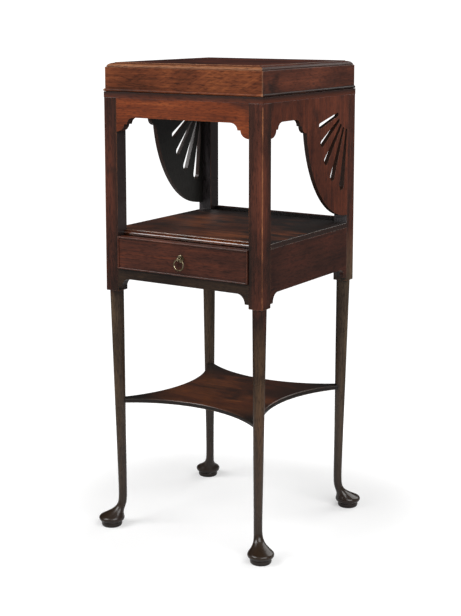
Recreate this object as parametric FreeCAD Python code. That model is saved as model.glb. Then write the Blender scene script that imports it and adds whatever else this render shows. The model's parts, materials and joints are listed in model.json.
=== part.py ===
import FreeCAD, Part
import math
import os

# Square mahogany washstand with a box lid, fan-pierced side panels, one drawer and a lower platform.
# Millimetres. X runs to the right, Y to the back and Z up, from the middle of the footprint on the floor.

# Stand, over the outer faces of its posts
stand_width = 326.0
stand_depth = 326.0
post_size = 27.0
post_arris = 1.5  # rounding of each post's outer corner

# Heights, stacked up from the floor
leg_height = 441.0  # floor to the underside of the square block
block_reveal = 7.0  # block left below the lower brackets
lower_bracket_drop = 17.0
lower_rail_height = 17.5
drawer_opening_height = 59.0
shelf_thickness = 8.5
bay_height = 201.5  # shelf top to the straight edge of the top rails
top_rail_height = 33.5
basin_board_thickness = 10.0
lid_gap = 0.4
lid_side_height = 42.6
lid_top_thickness = 8.0

# Round leg and pad foot
leg_top_radius = 12.25
ankle_height = 70.0
ankle_radius = 7.6
ankle_lean = 4.2  # towards the middle, along X and along Y
foot_reach = 10.5  # pad centre outside the post centre, along X and along Y
foot_sections = 11
foot_swell = 3.8  # higher keeps the ankle slim further down
foot_sweep = 2.6  # lower turns the foot outwards from higher up
rim_radius = 23.3
rim_height = 15.2
neck_radius = 17.6
neck_height = 9.2
pad_radius = 18.8
pad_bulge_height = 4.8
pad_sole_radius = 16.2

# Rails and panels
rail_thickness = 16.0
fan_panel_thickness = 8.0
lower_panel_thickness = 9.0
back_panel_thickness = 10.0
back_upstand = 6.5  # lower back panel above the shelf
rail_tenon_thickness = 6.0
rail_tenon_length = 13.0
panel_tenon_thickness = 3.0
panel_tenon_length = 9.0
tenon_shoulder = 3.5
joint_clearance = 0.1

# Shaped brackets: hollow, ledge and round on the upper ones, hollow and ledge on the lower ones
bracket_hollow_width = 14.5
bracket_hollow_drop = 12.0
bracket_ledge = 6.0
bracket_round_width = 16.5
bracket_round_drop = 13.5
lower_hollow_width = 15.5
lower_ledge = 7.8

# Pierced fan at the rear of each upper side panel
fan_reach = 155.5
fan_drop = 197.0
fan_centre_rise = 10.5  # fan centre above the straight edge of the rail
fan_slots = 5
fan_first_angle = 14.5  # degrees below the horizontal
fan_angle_step = 16.6
fan_margin = 45.0  # wood between a slot's end and the edge of the fan
slot_inner_reach = 42.0  # fan centre to the slot's narrow end
slot_inner_radius = 3.2
slot_first_radius = 5.0  # wide end of the top slot
slot_last_radius = 9.0  # wide end of the bottom slot

# Basin board
basin_hole_radius = 115.0
glue_block_side = 12.0
glue_block_length = 30.0
glue_block_offset = 70.0

# Shelf and its thumb moulding
shelf_setback = 17.0  # front of the shelf behind the posts' front faces
thumb_width = 8.5
thumb_drop = 5.0
thumb_step = 1.0

# Undertier
undertier_top = 240.0
undertier_thickness = 8.0
undertier_hollow = 44.0  # depth of each concave side, from the line of the legs
undertier_tip_width = 14.0
undertier_nose_width = 2.6
undertier_nose_drop = 3.2
undertier_tenon_width = 4.5
undertier_tenon_height = 4.5
undertier_tenon_length = 7.0
undertier_tenon_root = 16.0

# Lid
lid_inset = 1.7  # lid sides behind the posts' outer faces
lid_side_thickness = 10.0
lid_bead_radius = 2.5
lid_ledge_width = 2.0  # lid top behind the lid sides' outer faces
lid_thumb_width = 10.5
lid_thumb_drop = 6.4
lid_thumb_step = 1.0

# Hinges
hinge_offset = 92.0  # stand's middle to the middle of each hinge
hinge_length = 38.0
hinge_knuckles = 5
hinge_leaf_thickness = 1.6
hinge_leaf_reach = 9.0
hinge_knuckle_radius = 2.5
hinge_knuckle_gap = 0.2
hinge_pin_radius = 1.25
hinge_pin_clearance = 0.05
hinge_clearance = 0.4
screws_per_leaf = 3
screw_spacing = 12.0
screw_head_radius = 2.2
screw_head_depth = 1.2
screw_shank_radius = 1.1
screw_length = 7.5
screw_clearance = 0.03

# Drawer
drawer_side_gap = 0.75
drawer_top_gap = 0.8
drawer_run_gap = 0.3
drawer_front_thickness = 16.0
drawer_front_proud = 1.5
drawer_side_thickness = 7.0
drawer_side_drop = 2.0  # sides below the top of the drawer front
drawer_back_thickness = 7.0
drawer_back_drop = 5.0
drawer_bottom_thickness = 4.5
drawer_bottom_rise = 4.0
drawer_groove_depth = 3.0
dovetail_count = 3
dovetail_lap = 10.0
dovetail_root_width = 9.0
dovetail_slope = 7.0  # length of the tail for one of flare
cock_bead_width = 3.0
cock_bead_proud = 2.0
cock_bead_depth = 5.0
cock_bead_round = 1.3
runner_width = 18.0
runner_thickness = 10.0
guide_rise = 17.5  # drawer guide above the runner
stop_thickness = 13.7
stop_height = 9.0
stop_inset = 2.0

# Ring pull
pull_height = 31.0  # eye above the top of the lower front rail
rosette_radius = 6.5
rosette_thickness = 1.6
rosette_round = 0.8
eye_stem_radius = 1.7
eye_stem_length = 2.2
eye_ring_radius = 2.9
eye_wire_radius = 1.1
eye_shank_radius = 2.0
eye_shank_clearance = 0.1
eye_shank_end = 5.0  # shank showing inside the drawer front
pull_ring_radius = 9.6
pull_wire_radius = 1.25
pull_ring_slack = 0.25
nut_size = 8.0
nut_thickness = 3.0

# Heights worked out from the stack
bracket_foot_z = leg_height + block_reveal
lower_edge_z = bracket_foot_z + lower_bracket_drop
drawer_floor_z = lower_edge_z + lower_rail_height
shelf_under_z = drawer_floor_z + drawer_opening_height
shelf_top_z = shelf_under_z + shelf_thickness
rail_edge_z = shelf_top_z + bay_height
post_top_z = rail_edge_z + top_rail_height
board_top_z = post_top_z + basin_board_thickness
lid_base_z = board_top_z + lid_gap
lid_shoulder_z = lid_base_z + lid_side_height
lid_top_z = lid_shoulder_z + lid_top_thickness

# Places worked out from the stand's width and depth
half_width = stand_width / 2
half_depth = stand_depth / 2
post_in_x = half_width - post_size
post_in_y = half_depth - post_size
post_mid_x = half_width - post_size / 2
post_mid_y = half_depth - post_size / 2
back_panel_y = half_depth - back_panel_thickness
rail_in_y = half_depth - rail_thickness
shelf_front_y = shelf_setback - half_depth
lid_half_x = half_width - lid_inset
lid_half_y = half_depth - lid_inset

origin = FreeCAD.Vector(0, 0, 0)
along_x = FreeCAD.Vector(1, 0, 0)
along_y = FreeCAD.Vector(0, 1, 0)
along_z = FreeCAD.Vector(0, 0, 1)
full_turn = 360
quarter_turn = 90
quarter_pull = 4 / 3 * (math.sqrt(2) - 1)  # control points of a curve that follows a quarter ellipse
mortises = []  # hollows that every tenon leaves in the legs


# Shared shapes


def box(x0, x1, y0, y1, z0, z1, grow=0.0):
    corner = FreeCAD.Vector(x0 - grow, y0 - grow, z0 - grow)
    return Part.makeBox(x1 - x0 + 2 * grow, y1 - y0 + 2 * grow, z1 - z0 + 2 * grow, corner)


def tenon(x0, x1, y0, y1, z0, z1):
    mortises.append(box(x0, x1, y0, y1, z0, z1, joint_clearance))
    return box(x0, x1, y0, y1, z0, z1)


def quarter_round(start, corner, end):
    curve = Part.BezierCurve()
    first_pull = start + (corner - start) * quarter_pull
    last_pull = end + (corner - end) * quarter_pull
    curve.setPoles([start, first_pull, last_pull, end])
    return curve.toShape()


def outline_face(steps, place):
    # A step of two numbers is a straight run, one of four a quarter round with its corner given first.
    edges = []
    here = steps[0]
    for step in steps[1:] + steps[:1]:
        there = step[-2:]
        if len(step) > len(there):
            edges.append(quarter_round(place(*here), place(*step[:2]), place(*there)))
        else:
            edges.append(Part.makeLine(place(*here), place(*there)))
        here = there
    return Part.Face(Part.Wire(edges))


def plane_x(x):
    return lambda y, z: FreeCAD.Vector(x, y, z)


def plane_y(y):
    return lambda x, z: FreeCAD.Vector(x, y, z)


def plane_z(z):
    return lambda x, y: FreeCAD.Vector(x, y, z)


def joined(shapes):
    return shapes[0].fuse(shapes[1:]).removeSplitter()


def circle_wire(x, y, z, radius):
    return Part.Wire(Part.makeCircle(radius, FreeCAD.Vector(x, y, z), along_z))


def turned(steps, centre):
    # Turns an outline of radius and height about an upright axis.
    face = outline_face(steps, lambda r, z: FreeCAD.Vector(centre.x + r, centre.y, centre.z + z))
    return face.revolve(centre, along_z, full_turn)


def rod(radius, start, end):
    return Part.makeCylinder(radius, (end - start).Length, start, end - start)


def rounded(shape, radius, chosen):
    return shape.makeFillet(radius, [edge for edge in shape.Edges if chosen(edge.BoundBox)])


def mirrored(shape):
    return shape.mirror(origin, along_x)


def upper_bracket(edge, toward, place, thickness):
    # Hangs below the rail's straight edge; toward is the sign of the way to the post.
    hollow_end = edge - toward * (bracket_ledge + bracket_round_width)
    tip = hollow_end - toward * bracket_hollow_width
    round_start = edge - toward * bracket_round_width
    ledge_z = rail_edge_z - bracket_hollow_drop
    foot_z = ledge_z - bracket_round_drop
    steps = [
        (tip, rail_edge_z),
        (hollow_end, rail_edge_z, hollow_end, ledge_z),
        (round_start, ledge_z),
        (round_start, foot_z, edge, foot_z),
        (edge, rail_edge_z),
    ]
    return outline_face(steps, place).extrude(thickness)


def lower_bracket(edge, toward, place, thickness):
    hollow_end = edge - toward * lower_ledge
    tip = hollow_end - toward * lower_hollow_width
    steps = [
        (tip, lower_edge_z),
        (hollow_end, lower_edge_z, hollow_end, bracket_foot_z),
        (edge, bracket_foot_z),
        (edge, lower_edge_z),
    ]
    return outline_face(steps, place).extrude(thickness)


# Rails and panels


def rail_tenon(side, y0, y1, z0, z1):
    middle = (y0 + y1) / 2
    half = rail_tenon_thickness / 2
    reach = sorted((side * post_in_x, side * (post_in_x + rail_tenon_length)))
    return tenon(*reach, middle - half, middle + half, z0 + tenon_shoulder, z1 - tenon_shoulder)


def panel_tenon(side, x0, x1, z0, z1):
    middle = (x0 + x1) / 2
    half = panel_tenon_thickness / 2
    reach = sorted((side * post_in_y, side * (post_in_y + panel_tenon_length)))
    return tenon(middle - half, middle + half, *reach, z0 + tenon_shoulder, z1 - tenon_shoulder)


def front_top_rail():
    thickness = along_y * rail_thickness
    face = plane_y(-half_depth)
    shapes = [box(-post_in_x, post_in_x, -half_depth, -rail_in_y, rail_edge_z, post_top_z)]
    for side in (-1, 1):
        shapes.append(upper_bracket(side * post_in_x, side, face, thickness))
        shapes.append(rail_tenon(side, -half_depth, -rail_in_y, rail_edge_z, post_top_z))
    return joined(shapes)


def back_top_rail():
    shapes = [box(-post_in_x, post_in_x, rail_in_y, half_depth, rail_edge_z, post_top_z)]
    for side in (-1, 1):
        shapes.append(rail_tenon(side, rail_in_y, half_depth, rail_edge_z, post_top_z))
    return joined(shapes)


def front_lower_rail():
    thickness = along_y * rail_thickness
    face = plane_y(-half_depth)
    shapes = [box(-post_in_x, post_in_x, -half_depth, -rail_in_y, lower_edge_z, drawer_floor_z)]
    for side in (-1, 1):
        shapes.append(lower_bracket(side * post_in_x, side, face, thickness))
        shapes.append(rail_tenon(side, -half_depth, -rail_in_y, lower_edge_z, drawer_floor_z))
    return joined(shapes)


def lower_back_panel():
    top = shelf_top_z + back_upstand
    shapes = [box(-post_in_x, post_in_x, back_panel_y, half_depth, lower_edge_z, top)]
    for side in (-1, 1):
        shapes.append(rail_tenon(side, back_panel_y, half_depth, lower_edge_z, top))
    return joined(shapes)


def lower_side_panel(side):
    inner, outer = sorted((side * (half_width - lower_panel_thickness), side * half_width))
    thickness = along_x * lower_panel_thickness
    shapes = [box(inner, outer, -post_in_y, post_in_y, lower_edge_z, shelf_under_z)]
    for end in (-1, 1):
        shapes.append(lower_bracket(end * post_in_y, end, plane_x(inner), thickness))
        shapes.append(panel_tenon(end, inner, outer, lower_edge_z, shelf_under_z))
    return joined(shapes)


fan_centre_y = post_in_y
fan_centre_z = rail_edge_z + fan_centre_rise
bracket_foot_drop = bracket_hollow_drop + bracket_round_drop


def fan_edge_y(z):
    # Where the fan's curved edge stands at a given height.
    sink = (fan_centre_z - z) / fan_drop
    return fan_centre_y - fan_reach * math.sqrt(1 - sink ** 2)


def fan_slot(index, x0, x1):
    # A teardrop pointing at the fan centre; its wide round end grows from the top slot to the bottom one.
    angle = math.radians(fan_first_angle + index * fan_angle_step)
    growth = (slot_last_radius - slot_first_radius) / max(fan_slots - 1, 1)
    outer_radius = slot_first_radius + index * growth
    away = FreeCAD.Vector(0, -math.cos(angle), -math.sin(angle))
    across = FreeCAD.Vector(0, -math.sin(angle), math.cos(angle))
    edge_reach = 1 / math.hypot(math.cos(angle) / fan_reach, math.sin(angle) / fan_drop)
    outer_reach = edge_reach - fan_margin - outer_radius
    centre = FreeCAD.Vector(x0, fan_centre_y, fan_centre_z)
    inner = centre + away * slot_inner_reach
    outer = centre + away * outer_reach
    lean = math.asin((outer_radius - slot_inner_radius) / (outer_reach - slot_inner_reach))
    ends = []
    for middle, radius in ((inner, slot_inner_radius), (outer, outer_radius)):
        shift = away * (-radius * math.sin(lean))
        ends.append(middle + shift + across * (radius * math.cos(lean)))
        ends.append(middle + shift - across * (radius * math.cos(lean)))
    through = along_x * (x1 - x0)
    corners = [ends[0], ends[2], ends[3], ends[1], ends[0]]
    sides = Part.Face(Part.makePolygon(corners)).extrude(through)
    narrow_end = rod(slot_inner_radius, inner, inner + through)
    wide_end = rod(outer_radius, outer, outer + through)
    return joined([sides, narrow_end, wide_end])


def fan_side_panel(side):
    inner, outer = sorted((side * (half_width - fan_panel_thickness), side * half_width))
    thickness = along_x * fan_panel_thickness
    face = plane_x(inner)
    bracket_end = fan_edge_y(rail_edge_z - bracket_foot_drop)
    fan_tip = fan_centre_y - fan_reach
    fan_bottom = fan_centre_z - fan_drop
    fan_outline = [
        (fan_centre_y, fan_centre_z),
        (fan_centre_y, fan_bottom),
        (fan_tip, fan_bottom, fan_tip, fan_centre_z),
    ]
    shapes = [
        box(inner, outer, -post_in_y, post_in_y, rail_edge_z, post_top_z),
        outline_face(fan_outline, face).extrude(thickness),
        upper_bracket(-post_in_y, -1, face, thickness),
        upper_bracket(bracket_end, 1, face, thickness),
        panel_tenon(-1, inner, outer, rail_edge_z, post_top_z),
        panel_tenon(1, inner, outer, fan_bottom, post_top_z),
    ]
    panel = joined(shapes)
    for index in range(fan_slots):
        panel = panel.cut(fan_slot(index, inner - joint_clearance, outer + joint_clearance))
    return panel


# Legs


def leg_centre(z):
    # The turned part of the back right leg leans evenly from the block to the ankle.
    lean = ankle_lean * (leg_height - z) / (leg_height - ankle_height)
    return FreeCAD.Vector(post_mid_x - lean, post_mid_y - lean, z)


def leg_radius(z):
    taper = (leg_height - z) / (leg_height - ankle_height)
    return leg_top_radius + (ankle_radius - leg_top_radius) * taper


def leg_taper(grow=0.0):
    wires = []
    for z in (leg_height, ankle_height):
        centre = leg_centre(z)
        wires.append(circle_wire(centre.x, centre.y, z, leg_radius(z) + grow))
    return Part.makeLoft(wires, True, True)


def foot_top():
    # Circles blend from the ankle to the pad's rim, and turn outwards before they swell.
    ankle = leg_centre(ankle_height)
    shift_x = post_mid_x + foot_reach - ankle.x
    shift_y = post_mid_y + foot_reach - ankle.y
    wires = []
    for index in range(foot_sections):
        down = index / (foot_sections - 1)
        swell = (1 - math.cos(math.pi * down**foot_swell)) / 2
        sweep = (1 - math.cos(math.pi * down**foot_sweep)) / 2
        z = ankle_height + (rim_height - ankle_height) * down
        radius = ankle_radius + (rim_radius - ankle_radius) * swell
        wires.append(circle_wire(ankle.x + shift_x * sweep, ankle.y + shift_y * sweep, z, radius))
    return Part.makeLoft(wires, True, False)


def foot_pad():
    centre = FreeCAD.Vector(post_mid_x + foot_reach, post_mid_y + foot_reach, 0)
    steps = [
        (0, 0),
        (pad_sole_radius, 0),
        (pad_radius, 0, pad_radius, pad_bulge_height),
        (pad_radius, neck_height, neck_radius, neck_height),
        (rim_radius, neck_height, rim_radius, rim_height),
        (0, rim_height),
    ]
    return turned(steps, centre)


def leg_blank():
    block = box(post_in_x, half_width, post_in_y, half_depth, leg_height, post_top_z)

    def outer_corner(bounds):
        upright = bounds.ZLength > post_size
        return upright and bounds.XMin > post_mid_x and bounds.YMin > post_mid_y

    block = rounded(block, post_arris, outer_corner)
    return joined([block, leg_taper(), foot_top(), foot_pad()])


def legs():
    back_right = leg_blank()
    front_right = back_right.mirror(origin, along_y)
    blanks = {
        "leg_back_right": back_right,
        "leg_front_right": front_right,
        "leg_back_left": mirrored(back_right),
        "leg_front_left": mirrored(front_right),
    }
    return {name: blank.cut(mortises) for name, blank in blanks.items()}


# Undertier


def undertier_corner():
    return leg_centre(undertier_top - undertier_thickness / 2)


def undertier_flank():
    # How far a side of a tip stands off the diagonal, along X and along Y.
    return undertier_tip_width / 2 * math.sqrt(0.5)


def undertier_cutter(leg_x, leg_y):
    # Takes one hollow out of the front edge, from flank to flank of its two tips, and rounds the top arris.
    half_chord = leg_x - undertier_flank()
    sink = undertier_hollow + undertier_flank()
    radius = (half_chord ** 2 + sink ** 2) / (2 * sink)
    low = undertier_top - undertier_thickness
    centre = FreeCAD.Vector(0, undertier_hollow - leg_y - radius, low)
    nose = radius + undertier_nose_width
    nose_low = undertier_thickness - undertier_nose_drop
    steps = [
        (0, 0),
        (radius, 0),
        (radius, nose_low),
        (radius, undertier_thickness, nose, undertier_thickness),
        (0, undertier_thickness),
    ]
    return turned(steps, centre)


def undertier():
    corner = undertier_corner()
    low = undertier_top - undertier_thickness
    reach_x = corner.x + undertier_flank()
    reach_y = corner.y + undertier_flank()
    board = box(-reach_x, reach_x, -reach_y, reach_y, low, undertier_top)
    front = undertier_cutter(corner.x, corner.y)
    side = undertier_cutter(corner.y, corner.x).rotate(origin, along_z, quarter_turn)
    board = board.cut([front, front.mirror(origin, along_y), side, mirrored(side)])
    leg = leg_taper(joint_clearance)
    front_leg = leg.mirror(origin, along_y)
    board = board.cut([leg, front_leg, mirrored(leg), mirrored(front_leg)])
    shapes = [board]
    for right in (-1, 1):
        for back in (-1, 1):
            shapes.append(undertier_tenon(right, back, 0.0))
            mortises.append(undertier_tenon(right, back, joint_clearance))
    return joined(shapes)


def undertier_tenon(right, back, grow):
    # A bar along the diagonal, from inside the platform's tip to inside the leg.
    corner = undertier_corner()
    half = undertier_tenon_width / 2
    middle_z = undertier_top - undertier_thickness / 2
    tip = undertier_tenon_length - leg_radius(middle_z)
    low = middle_z - undertier_tenon_height / 2
    high = middle_z + undertier_tenon_height / 2
    bar = box(-undertier_tenon_root, tip, -half, half, low, high, grow)
    bar.rotate(origin, along_z, math.degrees(math.atan2(back, right)))
    bar.translate(FreeCAD.Vector(right * corner.x, back * corner.y, 0))
    return bar


# Shelf, drawer runners and stops


def shelf_board():
    # Runs out to the sides between the posts, and to the thumb-moulded front edge and the back panel.
    side_part = box(-half_width, half_width, -post_in_y, post_in_y, shelf_under_z, shelf_top_z)
    field = shelf_front_y + thumb_width
    step_z = shelf_top_z - thumb_step
    steps = [
        (field, shelf_top_z),
        (field, step_z),
        (shelf_front_y, step_z, shelf_front_y, step_z - thumb_drop),
        (shelf_front_y, shelf_under_z),
        (back_panel_y, shelf_under_z),
        (back_panel_y, shelf_top_z),
    ]
    middle_part = outline_face(steps, plane_x(-post_in_x)).extrude(along_x * 2 * post_in_x)
    return joined([side_part, middle_part])


def drawer_runner():
    low = drawer_floor_z - runner_thickness
    return box(post_in_x - runner_width, post_in_x, -rail_in_y, back_panel_y, low, drawer_floor_z)


def drawer_guide():
    low = drawer_floor_z - runner_thickness
    outer = half_width - lower_panel_thickness
    return box(post_in_x, outer, -post_in_y, post_in_y, low, drawer_floor_z + guide_rise)


def drawer_stop():
    outer = post_in_x - stop_inset
    inner = post_in_x - runner_width + stop_inset
    front = back_panel_y - stop_thickness
    return box(inner, outer, front, back_panel_y, drawer_floor_z, drawer_floor_z + stop_height)


# Hinges

hinge_y = half_depth + hinge_knuckle_radius + hinge_clearance
hinge_z = board_top_z + lid_gap / 2
leaf_front_y = lid_half_y - hinge_leaf_reach
leaf_screw_y = lid_half_y - hinge_leaf_reach / 2
hinge_middles = (-hinge_offset, hinge_offset)


def hinge_leaf(middle, low, high, first_knuckle):
    start = middle - hinge_length / 2
    step = hinge_length / hinge_knuckles
    plate_end = hinge_y - hinge_knuckle_radius - hinge_clearance
    shapes = [box(start, start + hinge_length, leaf_front_y, plate_end, low, high)]
    for index in range(first_knuckle, hinge_knuckles, 2):
        x0 = start + index * step + hinge_knuckle_gap / 2
        x1 = x0 + step - hinge_knuckle_gap
        shapes.append(box(x0, x1, plate_end, hinge_y, low, high))
        barrel = (FreeCAD.Vector(x0, hinge_y, hinge_z), FreeCAD.Vector(x1, hinge_y, hinge_z))
        shapes.append(rod(hinge_knuckle_radius, *barrel))
    bore = hinge_pin(middle, hinge_pin_clearance)
    return joined(shapes).cut(bore)


def hinge_pin(middle, grow=0.0):
    start = FreeCAD.Vector(middle - hinge_length / 2 - grow, hinge_y, hinge_z)
    end = FreeCAD.Vector(middle + hinge_length / 2 + grow, hinge_y, hinge_z)
    return rod(hinge_pin_radius + grow, start, end)


def screw(x, y, z, way, grow=0.0):
    # A countersunk screw, head flush at z; way is the sign of its direction along Z.
    top = FreeCAD.Vector(x, y, z - way * grow)
    tail = along_z * way
    head_radius = screw_head_radius + grow
    shank_radius = screw_shank_radius + grow
    head = Part.makeCone(head_radius, shank_radius, screw_head_depth + grow, top, tail)
    shank = Part.makeCylinder(shank_radius, screw_length + 2 * grow, top, tail)
    return joined([head, shank])


def leaf_screws(z, way, grow=0.0):
    screws = []
    for middle in hinge_middles:
        for index in range(screws_per_leaf):
            x = middle + (index - (screws_per_leaf - 1) / 2) * screw_spacing
            screws.append(screw(x, leaf_screw_y, z, way, grow))
    return screws


def leaf_recess(middle, back_y, low, high):
    half = hinge_length / 2 + joint_clearance
    return box(middle - half, middle + half, leaf_front_y - joint_clearance, back_y, low, high)


# Basin board


def basin_board():
    board = box(-half_width, half_width, -half_depth, half_depth, post_top_z, board_top_z)
    hole_start = FreeCAD.Vector(0, 0, post_top_z)
    cuts = [rod(basin_hole_radius, hole_start, hole_start + along_z * basin_board_thickness)]
    recess_floor = board_top_z - hinge_leaf_thickness
    for middle in hinge_middles:
        cuts.append(leaf_recess(middle, half_depth, recess_floor, board_top_z))
    cuts += leaf_screws(board_top_z, -1, screw_clearance)
    return board.cut(cuts)


def glue_blocks():
    # Corner strips under the basin board, against the rails and the side panels.
    blocks = []
    drop = post_top_z - glue_block_side
    half = glue_block_length / 2
    panel_in_x = half_width - fan_panel_thickness
    for way in (-1, 1):
        for offset in (-glue_block_offset, glue_block_offset):
            rail_steps = [
                (way * rail_in_y, post_top_z),
                (way * (rail_in_y - glue_block_side), post_top_z),
                (way * rail_in_y, drop),
            ]
            rail_face = outline_face(rail_steps, plane_x(offset - half))
            blocks.append(rail_face.extrude(along_x * glue_block_length))
            panel_steps = [
                (way * panel_in_x, post_top_z),
                (way * (panel_in_x - glue_block_side), post_top_z),
                (way * panel_in_x, drop),
            ]
            panel_face = outline_face(panel_steps, plane_y(offset - half))
            blocks.append(panel_face.extrude(along_y * glue_block_length))
    return Part.makeCompound(blocks)


# Lid


def lid_slab(reach, place, run):
    # A slab with a rounded moulding along two opposite edges.
    field = reach - lid_thumb_width
    step_z = lid_top_z - lid_thumb_step
    steps = [
        (-reach, lid_shoulder_z),
        (reach, lid_shoulder_z),
        (reach, step_z - lid_thumb_drop),
        (reach, step_z, field, step_z),
        (field, lid_top_z),
        (-field, lid_top_z),
        (-field, step_z),
        (-reach, step_z, -reach, step_z - lid_thumb_drop),
    ]
    return outline_face(steps, place).extrude(run)


def lid_strip(slab, corners):
    return slab.common(outline_face(corners, plane_z(lid_shoulder_z)).extrude(along_z * lid_top_thickness))


def lid_top():
    # A flat field with a strip of moulding along each edge, mitred at the corners.
    reach_x = lid_half_x - lid_ledge_width
    reach_y = lid_half_y - lid_ledge_width
    field_x = reach_x - lid_thumb_width
    field_y = reach_y - lid_thumb_width
    sideways = lid_slab(reach_y, plane_x(-reach_x), along_x * 2 * reach_x)
    backwards = lid_slab(reach_x, plane_y(-reach_y), along_y * 2 * reach_y)
    pieces = [box(-field_x, field_x, -field_y, field_y, lid_shoulder_z, lid_top_z)]
    for way in (-1, 1):
        out_x, in_x = way * reach_x, way * field_x
        out_y, in_y = way * reach_y, way * field_y
        end_zone = [(-reach_x, out_y), (reach_x, out_y), (field_x, in_y), (-field_x, in_y)]
        side_zone = [(out_x, -reach_y), (out_x, reach_y), (in_x, field_y), (in_x, -field_y)]
        pieces.append(lid_strip(sideways, end_zone))
        pieces.append(lid_strip(backwards, side_zone))
    return joined(pieces)


def lid_side(corners):
    return outline_face(corners, plane_z(lid_base_z)).extrude(along_z * lid_side_height)


def lid_sides():
    in_x = lid_half_x - lid_side_thickness
    in_y = lid_half_y - lid_side_thickness
    right = [(lid_half_x, -lid_half_y), (lid_half_x, lid_half_y), (in_x, in_y), (in_x, -in_y)]
    front = [(-lid_half_x, -lid_half_y), (lid_half_x, -lid_half_y), (in_x, -in_y), (-in_x, -in_y)]
    back = [(-lid_half_x, lid_half_y), (lid_half_x, lid_half_y), (in_x, in_y), (-in_x, in_y)]
    cuts = leaf_screws(lid_base_z, 1, screw_clearance)
    for middle in hinge_middles:
        cuts.append(leaf_recess(middle, lid_half_y, lid_base_z, lid_base_z + hinge_leaf_thickness))
    right_side = lid_side(right)
    return {
        "lid_right": right_side,
        "lid_left": mirrored(right_side),
        "lid_front": lid_side(front),
        "lid_back": lid_side(back).cut(cuts),
    }


def lid_beads():
    # Half-round strips on the outside of the lid's lower edge, mitred at the two front corners.
    bead_z = lid_base_z + lid_bead_radius
    out_x = lid_half_x + lid_bead_radius
    out_y = lid_half_y + lid_bead_radius
    front_zone = [(-lid_half_x, -lid_half_y), (lid_half_x, -lid_half_y), (out_x, -out_y), (-out_x, -out_y)]
    right_zone = [(lid_half_x, -lid_half_y), (out_x, -out_y), (out_x, lid_half_y), (lid_half_x, lid_half_y)]
    left_end = FreeCAD.Vector(-out_x, -lid_half_y, bead_z)
    right_end = FreeCAD.Vector(out_x, -lid_half_y, bead_z)
    front_end = FreeCAD.Vector(lid_half_x, -out_y, bead_z)
    back_end = FreeCAD.Vector(lid_half_x, lid_half_y, bead_z)
    front_rod = rod(lid_bead_radius, left_end, right_end)
    right_rod = rod(lid_bead_radius, front_end, back_end)
    height = along_z * 2 * lid_bead_radius
    front = front_rod.common(outline_face(front_zone, plane_z(lid_base_z)).extrude(height))
    right = right_rod.common(outline_face(right_zone, plane_z(lid_base_z)).extrude(height))
    return {"lid_bead_front": front, "lid_bead_right": right, "lid_bead_left": mirrored(right)}


# Drawer

drawer_half = post_in_x - drawer_side_gap
drawer_low_z = drawer_floor_z + drawer_run_gap
drawer_high_z = shelf_under_z - drawer_top_gap
drawer_face_y = -half_depth - drawer_front_proud
drawer_front_back_y = drawer_face_y + drawer_front_thickness
drawer_bead_root_y = drawer_face_y + cock_bead_depth
drawer_end_y = back_panel_y - stop_thickness - drawer_run_gap
drawer_side_top_z = drawer_high_z - drawer_side_drop
drawer_in_x = drawer_half - drawer_side_thickness
drawer_bottom_z = drawer_low_z + drawer_bottom_rise
drawer_bottom_top_z = drawer_bottom_z + drawer_bottom_thickness
pull_z = drawer_floor_z + pull_height


def dovetails(grow=0.0):
    # Tails of the right side that run into the end of the drawer front.
    tails = []
    pitch = (drawer_side_top_z - drawer_low_z) / dovetail_count
    root = dovetail_root_width / 2 + grow
    flare = root + dovetail_lap / dovetail_slope
    tail_end = drawer_front_back_y - dovetail_lap - grow
    for index in range(dovetail_count):
        z = drawer_low_z + (index + 1 / 2) * pitch
        steps = [
            (drawer_front_back_y, z - root),
            (tail_end, z - flare),
            (tail_end, z + flare),
            (drawer_front_back_y, z + root),
        ]
        face = outline_face(steps, plane_x(drawer_in_x - grow))
        tails.append(face.extrude(along_x * (drawer_side_thickness + 2 * grow)))
    return tails


def drawer_groove(x0, x1, y0, y1):
    return box(x0, x1, y0, y1, drawer_bottom_z, drawer_bottom_top_z, joint_clearance)


def drawer_front():
    levels = (drawer_low_z, drawer_high_z)
    block = box(-drawer_half, drawer_half, drawer_bead_root_y, drawer_front_back_y, *levels)
    field_x = drawer_half - cock_bead_width
    field_low = drawer_low_z + cock_bead_width
    field_high = drawer_high_z - cock_bead_width
    field = box(-field_x, field_x, drawer_face_y, drawer_bead_root_y, field_low, field_high)
    groove_y = drawer_front_back_y - drawer_groove_depth
    cuts = dovetails(joint_clearance)
    cuts += [mirrored(tail) for tail in cuts]
    cuts.append(drawer_groove(-drawer_in_x, drawer_in_x, groove_y, drawer_front_back_y))
    cuts.append(rod(eye_shank_radius + eye_shank_clearance, *shank_line()))
    return joined([block, field]).cut(cuts)


def drawer_side():
    levels = (drawer_low_z, drawer_side_top_z)
    side = box(drawer_in_x, drawer_half, drawer_front_back_y, drawer_end_y, *levels)
    groove_x = drawer_in_x + drawer_groove_depth
    groove = drawer_groove(drawer_in_x, groove_x, drawer_front_back_y, drawer_end_y)
    return joined([side] + dovetails()).cut(groove)


def drawer_back():
    front = drawer_end_y - drawer_back_thickness
    top = drawer_side_top_z - drawer_back_drop
    return box(-drawer_in_x, drawer_in_x, front, drawer_end_y, drawer_bottom_top_z, top)


def drawer_bottom():
    half = drawer_in_x + drawer_groove_depth
    front = drawer_front_back_y - drawer_groove_depth
    levels = (drawer_bottom_z, drawer_bottom_top_z)
    front_lip = box(-drawer_in_x, drawer_in_x, front, drawer_front_back_y, *levels)
    main = box(-half, half, drawer_front_back_y, drawer_end_y, *levels)
    return joined([front_lip, main])


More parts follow.
